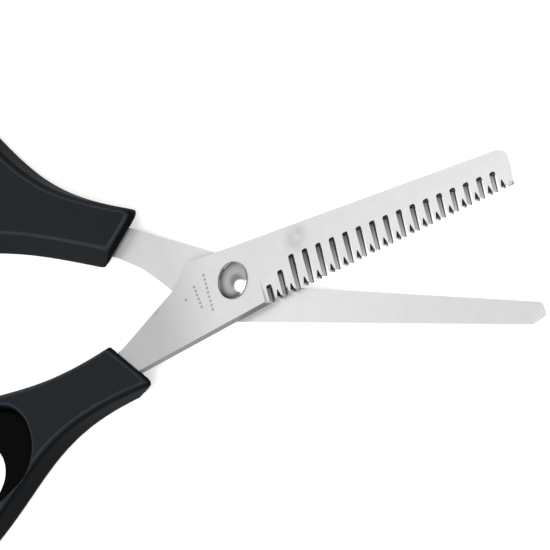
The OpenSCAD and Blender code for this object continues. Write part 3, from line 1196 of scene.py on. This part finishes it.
@dataclass
class Handle:
    """One moulded handle: a ring, a neck that narrows to a slanted mouth, and the tang's socket.

    Y is counted away from the centre line. The outer and inner sides are cubic curves that run
    from the mouth to the ring, and their pulls are the curves' middle control points.
    """

    seat: Seat
    mouth: tuple[Pair, Pair]
    outer_pulls: tuple[Pair, Pair]
    inner_pulls: tuple[Pair, Pair]
    ring: Pair
    ring_size: Pair
    joins: Pair
    hole: Array
    tang: tuple[Pair, ...]
    tang_heights: Pair
    socket_heights: Pair
    socket_edges: Pair
    peg_y: float
    slope_width: float
    slope_wall: float
    slope_end: float
    corner_length: float
    rake: float
    rake_top: float
    edge_round: float = 1.5
    corner_soft: float = 0.55
    socket_depth: float = 2.5
    peg_x: Pair = (-51.0, -43.0)
    peg_radius: float = 1.5
    neck_start: float = -58.0
    mouth_drop: float = 0.5
    neck_length: float = 28.0
    pitch: float = 0.34
    crease: float = 0.5
    lip_round: float = 0.3
    slope_overrun: float = 4.0
    neck_overrun: float = 1.2
    margin: float = 1.3
    corner_points: int = 20
    ring_count: int = 160
    outline_points: int = 420

    def ring_points(self, start: float, end: float, count: int) -> Array:
        """Points round the ring's outside between two angles, in degrees."""
        return oval(self.ring, self.ring_size, np.radians(np.linspace(start, end, count)))

    def inner_side(self) -> Array:
        """The inner side's curve, from the ring to the mouth."""
        start = self.ring_points(self.joins[1], self.joins[1], 1)[0]
        return cubic(np.array([start, *self.inner_pulls, self.mouth[0]]), CURVE_POINTS)

    def outline(self) -> Array:
        """The outside edge at mid height: outer side, ring, inner side and mouth.

        Returns:
            Evenly spaced points.
        """
        end = self.ring_points(self.joins[0], self.joins[0], 1)[0]
        corner = self.mouth[1]
        start = toward(corner, self.mouth[0], self.corner_length)
        past = toward(corner, self.outer_pulls[0], self.corner_length)
        rounding = cubic(np.array([start, corner, corner, past]), self.corner_points)
        outer = cubic(np.array([past, *self.outer_pulls, end]), CURVE_POINTS)
        ring = self.ring_points(*self.joins, self.ring_count)
        corners = np.concatenate([rounding, outer[1:], ring[1:], self.inner_side()[1:]])
        return even_loop(corners, self.outline_points, self.corner_soft)

    def slope_line(self) -> Array:
        """The line that the long slope on the inner side rises from.

        Returns:
            Its points, from the ring to past the mouth.
        """
        side = self.inner_side()
        past = side[-1] + self.slope_overrun * (side[-1] - side[-3])
        ring = self.ring_points(self.slope_end, self.joins[1], self.corner_points)
        return np.concatenate([ring[:-1], side, [past]])

    def socket(self) -> Array:
        """The socket's outline: as deep as socket_depth all along the slanted mouth.

        Returns:
            Its four corners.
        """
        (x0, y0), (x1, y1) = self.mouth
        slant = (x1 - x0) / (y1 - y0)
        ends = [(x0 + slant * (y - y0), y) for y in self.socket_edges]
        depth = self.socket_depth
        corners = [(ends[0][0] - depth, ends[0][1]), (ends[0][0] + depth, ends[0][1])]
        corners += [(ends[1][0] + depth, ends[1][1]), (ends[1][0] - depth, ends[1][1])]
        return np.array(corners)

    def plan(self, low: Array, high: Array) -> PlanMap:
        """Maps of the distances that the handle's field is made from.

        Args:
            low: Lowest corner of the handle's box.
            high: Highest corner.

        Returns:
            The maps.
        """
        plan = PlanMap(low[:2], high[:2], self.pitch / 2)
        plan.record("outline", self.outline())
        plan.record("hole", self.hole)
        plan.record("slope", self.slope_line(), closed=False)
        plan.record("socket", self.socket())
        plan.record("tang", np.array(self.tang))
        return plan

    def field(self, plan: PlanMap, middle: float, half_thick: float) -> Field:
        """Distance to the handle's surface, negative inside.

        The outline less the hole is thickened to a slab whose edges are rounded: outside the
        rounding's centre line the distance is the length of the (across, up) offset less the
        radius. The slope is a plane that rises with the distance from the slope line. Below
        rake_top the mouth's end face leans back by the rake. The socket and the tang's slot are
        prisms taken out of the body.

        Args:
            plan: Maps of the distances in the plane.
            middle: Height of the handle's middle.
            half_thick: Half of its thickness at the ring.

        Returns:
            The field.
        """
        radius = self.edge_round
        run = np.subtract(self.mouth[1], self.mouth[0])
        outward = np.array([run[1], -run[0]]) / np.linalg.norm(run)

        def slab(points: Array, layer: str, heights: Pair) -> Array:
            """Distance to a straight-sided prism over one layer's outline."""
            centre, reach = sum(heights) / 2, (heights[1] - heights[0]) / 2
            return np.maximum(plan.read(layer, points), np.abs(points[:, 2] - centre) - reach)

        def value(points: Array) -> Array:
            """The field's values.

            Args:
                points: Points of the closed handle.

            Returns:
                The distance at each point.
            """
            neck = (points[:, 0] - self.neck_start) / self.neck_length
            neck = np.clip(neck, 0.0, self.neck_overrun)
            thick = half_thick - self.mouth_drop * neck
            up = np.abs(points[:, 2] - middle)
            flat = np.maximum(plan.read("outline", points), -plan.read("hole", points))
            across, over = flat + radius, up - thick + radius
            outer = np.hypot(np.maximum(across, 0.0), np.maximum(over, 0.0))
            body = np.minimum(np.maximum(across, over), 0.0) + outer - radius
            tilt = np.arctan2(thick - self.slope_wall, self.slope_width)
            rise = up - self.slope_wall
            slope = rise * np.cos(tilt) - plan.read("slope", points) * np.sin(tilt)
            body = soft_max(body, slope, self.crease)
            past_mouth = (points[:, :2] - self.mouth[0]) @ outward
            under = self.rake_top - points[:, 2]
            body = np.maximum(body, past_mouth * math.cos(self.rake) + under * math.sin(self.rake))
            pegs = [np.hypot(points[:, 0] - x, points[:, 1] - self.peg_y) for x in self.peg_x]
            peg = self.peg_radius - np.minimum(*pegs)
            slot = np.maximum(slab(points, "tang", self.tang_heights), peg)
            hollow = np.minimum(slot, slab(points, "socket", self.socket_heights))
            return soft_max(body, -hollow, self.lip_round)

        return value

    def build(self, material: bpy.types.Material) -> None:
        """Makes the handle.

        Args:
            material: Its finish.
        """
        low, high = self.seat.box()
        middle, half_thick = (low[2] + high[2]) / 2, (high[2] - low[2]) / 2
        if self.seat.half.side < 0:
            low[1], high[1] = -high[1], -low[1]
        low, high = low - self.margin, high + self.margin
        field = self.field(self.plan(low, high), middle, half_thick)
        self.seat.fit(*wrap_field(field, low, high, self.pitch), material, mirrored=True)


@dataclass
class Liner:
    """A soft ring liner with rounded lips, between a handle's hole and the finger's opening."""

    seat: Seat
    hole: Array
    opening: Pair
    opening_size: Pair
    squareness: float = 3.6
    section_steps: int = 36

    def build(self, material: bpy.types.Material) -> None:
        """Makes the liner: a squarish oval section carried round the hole.

        At each point of the hole the section reaches from there to the opening's edge in the
        direction of the opening's centre. Its height and width follow sin and cos, each raised
        to 2 / squareness.

        Args:
            material: Its finish.
        """
        low, high = self.seat.box()
        middle, reach = (low[2] + high[2]) / 2, (high[2] - low[2]) / 2
        outward = self.hole - self.opening
        scaled = outward / self.opening_size
        edge = self.opening + outward / np.linalg.norm(scaled, axis=1, keepdims=True)
        centre, half_width = (self.hole + edge) / 2, (self.hole - edge) / 2
        angles = np.linspace(0.0, 2 * np.pi, self.section_steps, endpoint=False)
        power = 2 / self.squareness
        wide = np.sign(np.cos(angles)) * np.abs(np.cos(angles)) ** power
        tall = np.sign(np.sin(angles)) * np.abs(np.sin(angles)) ** power
        flat = centre[:, None] + half_width[:, None] * wide[:, None]
        height = np.broadcast_to(middle + reach * tall, flat.shape[:2])
        points = np.concatenate([flat, height[..., None]], -1).reshape(-1, 3)
        quads = grid_quads(len(self.hole), self.section_steps, True, True)
        self.seat.fit(points, quads, material, mirrored=True)


@dataclass
class StopButton:
    """The rubber button between the handles, with a rounded end."""

    end_round: float = 1.0
    steps: int = 64

    def build(self, material: bpy.types.Material) -> None:
        """Makes the button: a profile spun round its axis, which is then laid along Y.

        Args:
            material: Its finish.
        """
        seat = Seat("stop_button", "stop_bumper", Half.TOOTHED, "liner_rubber")
        low, high = seat.box()
        radius, length = (high[0] - low[0]) / 2, high[1] - low[1]
        inset = self.end_round
        profile = np.concatenate([
            [[0.0, 0.0], [radius, 0.0]],
            bend((radius - inset, length - inset), inset, 0, 90),
            [[0.0, length]],
        ])
        points, quads = spun(profile, self.steps)
        centre = (low + high) / 2
        laid = np.stack([
            centre[0] - points[:, 0], low[1] + points[:, 2], centre[2] + points[:, 1],
        ], -1)
        seat.fit(laid, quads, material)


@dataclass
class Grips:
    """Both handles with their liners, and the stop button."""

    thumb_hole_size: Pair = (15.0, 12.0)
    thumb_ring: Pair = (-92.0, 19.2)
    finger_circles: tuple[tuple[float, float, float], ...] = (
        (-72.5, 11.9, 9.3), (-93.0, 15.5, 12.2),
    )
    thumb_opening_size: Pair = (12.2, 9.6)
    finger_opening: Pair = (-88.0, 15.0)
    finger_opening_size: Pair = (14.5, 9.3)
    thumb_points: int = 200
    finger_turns: int = 720
    finger_points: int = 240

    def thumb_hole(self) -> Array:
        """The thumb ring's hole, an ellipse."""
        angles = np.linspace(0.0, 2 * np.pi, self.thumb_points, endpoint=False)
        return oval(self.thumb_ring, self.thumb_hole_size, angles)

    def finger_hole(self) -> Array:
        """The finger ring's hole: two circles and their common tangents.

        In each direction the outermost of the two circles gives the point.

        Returns:
            Evenly spaced points.
        """
        angles = np.linspace(0.0, 2 * np.pi, self.finger_turns, endpoint=False)
        away = np.stack([np.cos(angles), np.sin(angles)], -1)
        circles = np.array(self.finger_circles)
        reach = away @ circles[:, :2].T + circles[:, 2]
        chosen = circles[reach.argmax(1)]
        return even_loop(chosen[:, :2] + away * chosen[:, 2:], self.finger_points, 0.0)

    def build(self) -> None:
        """Makes the handles, the liners and the button."""
        plastic = SatinPlastic().material("handle_plastic")
        rubber = SoftRubber().material("liner_rubber")
        thumb_hole, finger_hole = self.thumb_hole(), self.finger_hole()
        Handle(
            seat=Seat("thumb_handle_moulding", "thumb_handle", Half.PLAIN, "handle_plastic"),
            mouth=((-37.8, 1.1), (-29.8, 14.1)), corner_length=6.0,
            rake=math.radians(58.0), rake_top=4.7,
            outer_pulls=((-59.3, 16.9), (-65.9, 21.2)),
            inner_pulls=((-65.2, 3.5), (-63.8, 3.9)),
            ring=self.thumb_ring, ring_size=(20.2, 17.0), joins=(75.4, 275.7),
            hole=thumb_hole,
            tang=((-58.0, 10.4), (-58.0, 4.4), (-42.0, 4.4), (-35.6, 3.6), (-27.9, 1.5),
                  (-20.0, 8.0), (-27.0, 9.2), (-34.0, 10.4)),
            tang_heights=(1.5, 3.6), socket_heights=(1.5, 4.7), socket_edges=(3.9, 10.2),
            peg_y=7.4, slope_width=4.4, slope_wall=0.6, slope_end=235.0,
        ).build(plastic)
        Handle(
            seat=Seat("finger_handle_moulding", "finger_handle", Half.TOOTHED, "handle_plastic"),
            mouth=((-36.5, 0.9), (-26.5, 13.3)), corner_length=5.0,
            rake=math.radians(55.0), rake_top=5.9,
            outer_pulls=((-61.6, 12.1), (-64.2, 21.1)),
            inner_pulls=((-69.9, -3.4), (-64.7, 4.2)),
            ring=(-93.5, 15.6), ring_size=(17.0, 16.6), joins=(63.7, 271.7),
            hole=finger_hole,
            tang=((-58.0, 3.6), (-58.0, 10.2), (-20.0, 8.67), (-24.0, -1.0), (-33.5, 3.0),
                  (-38.0, 3.6)),
            tang_heights=(3.8, 5.9), socket_heights=(2.7, 5.9), socket_edges=(3.4, 8.6),
            peg_y=6.5, slope_width=0.7, slope_wall=2.4, slope_end=250.0,
        ).build(plastic)
        Liner(
            Seat("thumb_ring_liner", "thumb_insert", Half.PLAIN, "liner_rubber"),
            thumb_hole, self.thumb_ring, self.thumb_opening_size,
        ).build(rubber)
        Liner(
            Seat("finger_ring_liner", "finger_insert", Half.TOOTHED, "liner_rubber"),
            finger_hole, self.finger_opening, self.finger_opening_size,
        ).build(rubber)
        StopButton().build(rubber)


# ---- studio ----


@dataclass
class Studio:
    """Pale floor, soft lights and a long-lens camera past the blade tips."""

    distance: float = 0.9
    tilt: float = math.radians(41.2)
    swing: float = math.radians(17.045)
    roll: float = math.radians(10.0)
    lens: float = 279.2
    aim_height: float = 0.006
    aim_right: float = 0.00895
    aim_up: float = 0.00114
    clip: Pair = (0.05, 20.0)
    floor_size: float = 6.0
    key_toward: tuple[float, float, float] = (0.23, -0.364, 0.902)
    key_size: float = 1.1
    key_power: float = 13.5
    key_distance: float = 1.2
    sky: tuple[Pair, ...] = (
        (0.0, 0.2), (0.2, 0.5), (0.45, 1.0), (0.7, 1.4), (0.84, 1.3), (0.95, 0.7),
    )

    def axes(self) -> tuple[Vector, Vector, Vector]:
        """The camera's directions before it is aimed.

        Returns:
            Its right, up and back directions.
        """
        level = Vector((math.cos(self.swing), -math.sin(self.swing), 0.0))
        side = Vector((math.sin(self.swing), math.cos(self.swing), 0.0))
        rise = Vector((0.0, 0.0, 1.0))
        back = math.sin(self.tilt) * level + math.cos(self.tilt) * rise
        down = math.cos(self.tilt) * level - math.sin(self.tilt) * rise
        right = math.cos(self.roll) * down + math.sin(self.roll) * side
        up = -math.sin(self.roll) * down + math.cos(self.roll) * side
        return right, up, back

    def add_camera(self) -> None:
        """Places the camera so that it looks just beside the rivet."""
        right, up, back = self.axes()
        data = bpy.data.cameras.new("camera")
        data.lens = self.lens
        data.clip_start, data.clip_end = self.clip
        camera = add_object("camera", data)
        target = Vector((0.0, 0.0, self.aim_height))
        camera.location = target + self.distance * back
        ahead = (target + self.aim_right * right + self.aim_up * up - camera.location).normalized()
        across = ahead.cross(up).normalized()
        turned = Matrix((across, across.cross(ahead), -ahead)).transposed()
        camera.rotation_euler = turned.to_euler()
        bpy.context.scene.camera = camera

    def add_floor(self) -> None:
        """Lays the floor at the shears' lowest point."""
        half = self.floor_size / 2
        corners = np.array([[-half, -half, 0], [half, -half, 0], [half, half, 0], [-half, half, 0]])
        corners[:, 2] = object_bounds()[0].z
        material = PaleFloor().material("floor")
        floor = new_piece("floor", corners, np.array([[0, 1, 2, 3]]), material)
        floor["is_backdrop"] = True

    def add_key(self) -> None:
        """Adds a round soft light that faces the rivet."""
        toward_key = Vector(self.key_toward)
        data = bpy.data.lights.new("key", "AREA")
        data.shape = "DISK"
        data.size, data.energy = self.key_size, self.key_power
        light = add_object("key", data)
        light.location = toward_key.normalized() * self.key_distance
        light.rotation_euler = toward_key.to_track_quat("Z", "Y").to_euler()

    def add_sky(self) -> None:
        """Surrounds the scene with pale light that is weaker low down."""
        world = bpy.data.worlds.new("sky")
        world.use_nodes = True
        bpy.context.scene.world = world
        g = Graph(world.node_tree)
        height = g.parts(g.add("ShaderNodeTexCoord", output="Generated"))[2]
        tone = g.add("ShaderNodeValToRGB", {"stops": self.sky}, {0: height})
        glow = g.add("ShaderNodeBackground", None, {"Color": tone})
        g.add("ShaderNodeOutputWorld", None, {"Surface": glow})

    def build(self) -> None:
        """Makes the camera, floor and lights."""
        scene = bpy.context.scene
        scene.view_settings.view_transform = "Standard"
        self.add_camera()
        self.add_floor()
        self.add_sky()
        self.add_key()


def main() -> None:
    """Builds the studio and then the shears: blades, rivet and grips."""
    logging.basicConfig(level=logging.INFO, format="%(name)s: %(message)s")
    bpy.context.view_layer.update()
    Studio().build()
    Blades().dress()
    Rivet().build()
    Grips().build()


if __name__ == "__main__":
    main()
